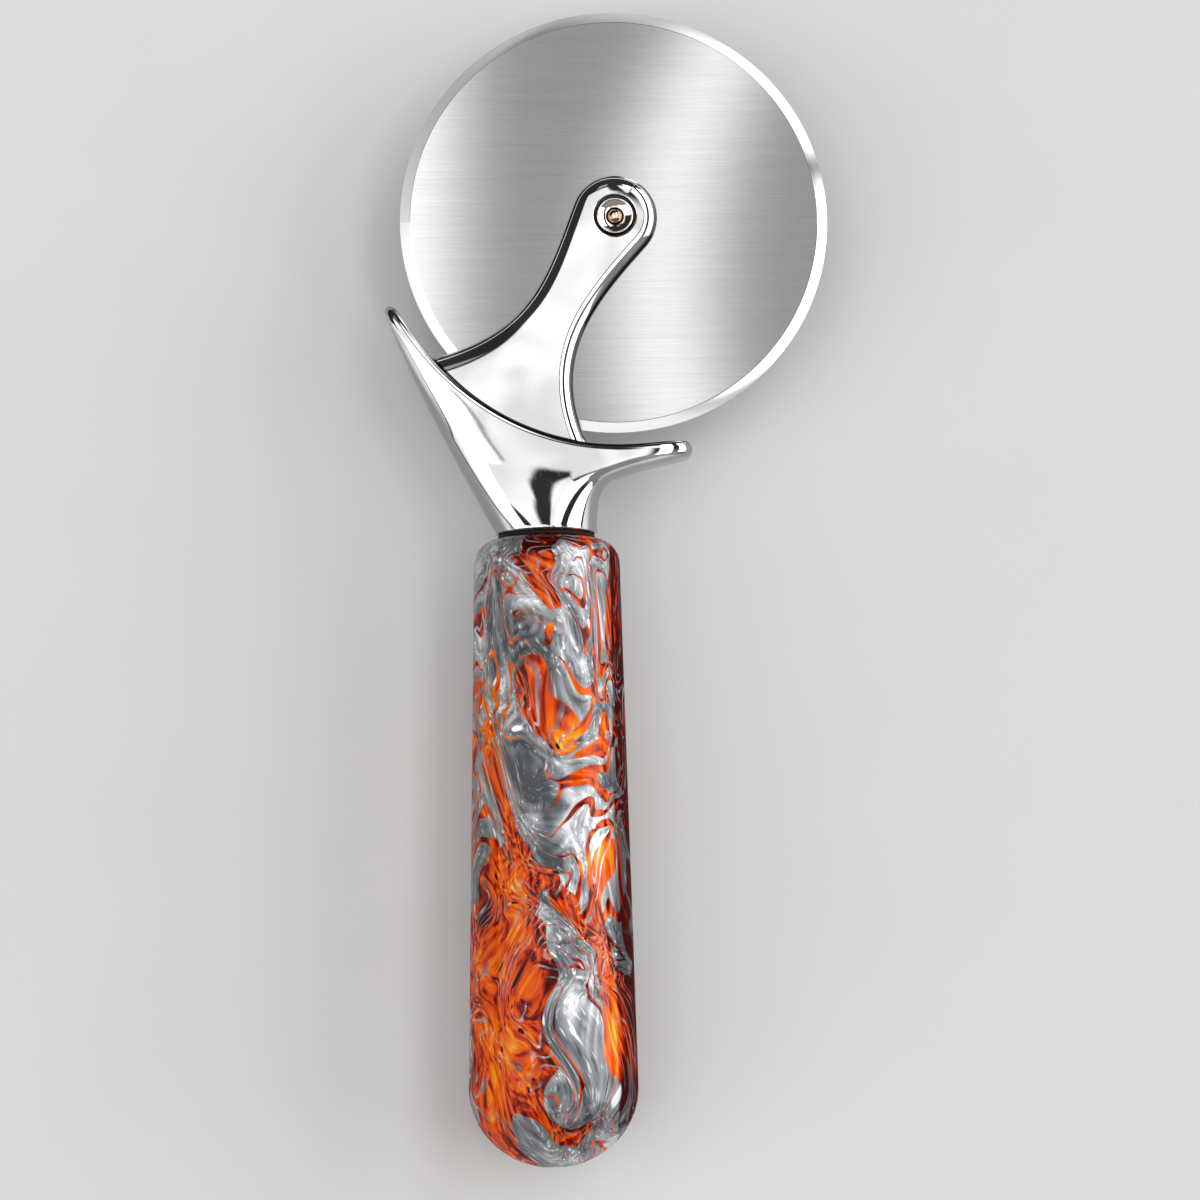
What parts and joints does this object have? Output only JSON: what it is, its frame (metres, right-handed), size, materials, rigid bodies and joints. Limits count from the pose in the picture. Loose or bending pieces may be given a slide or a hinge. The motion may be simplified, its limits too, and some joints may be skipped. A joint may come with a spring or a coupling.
{
  "type": "pizza cutter",
  "caption": "Hand pizza cutter: a round steel blade turns on a rivet in a chromed fork with a horned finger guard, on a turned handle of marbled resin.",
  "frame": {"origin": "middle of the base that the cutter lies on: the middle of its box in X and Y, its lowest point in Z", "axes": "+Y along the handle towards the blade, +Z square to the blade's front face and up, +X to the right seen from above"},
  "size_m": [0.1054, 0.273, 0.0393],
  "materials": {
    "marbled_resin": "polished clear resin with silver and orange swirls",
    "brass": "turned",
    "plated_steel": "zinc plated",
    "black_rubber": "matt",
    "chrome_plate": "mirror polished plating",
    "brushed_blade_steel": "straight brushed faces, polished ground edge",
    "bronze": "turned",
    "nylon": "moulded",
    "nickel_plate": "warm bright nickel"
  },
  "bodies": {
    "cutter_body": {"handle": "marbled_resin", "threaded_insert": "brass", "threaded_stud": "plated_steel", "neck_washer": "black_rubber", "head_casting": "chrome_plate", "front_thrust_washer": "nylon", "rear_thrust_washer": "nylon", "pivot_rivet": "nickel_plate", "front_cup_washer": "nickel_plate"},
    "wheel": {"blade": "brushed_blade_steel", "hub_bush": "bronze"}
  },
  "joints": [
    {"name": "blade_spin", "type": "hinge", "parent": "cutter_body", "child": "wheel", "pos_m": [0.00193, 0.0857, 0.01965], "axis": [0, 0, 1], "continuous": true}
  ]
}
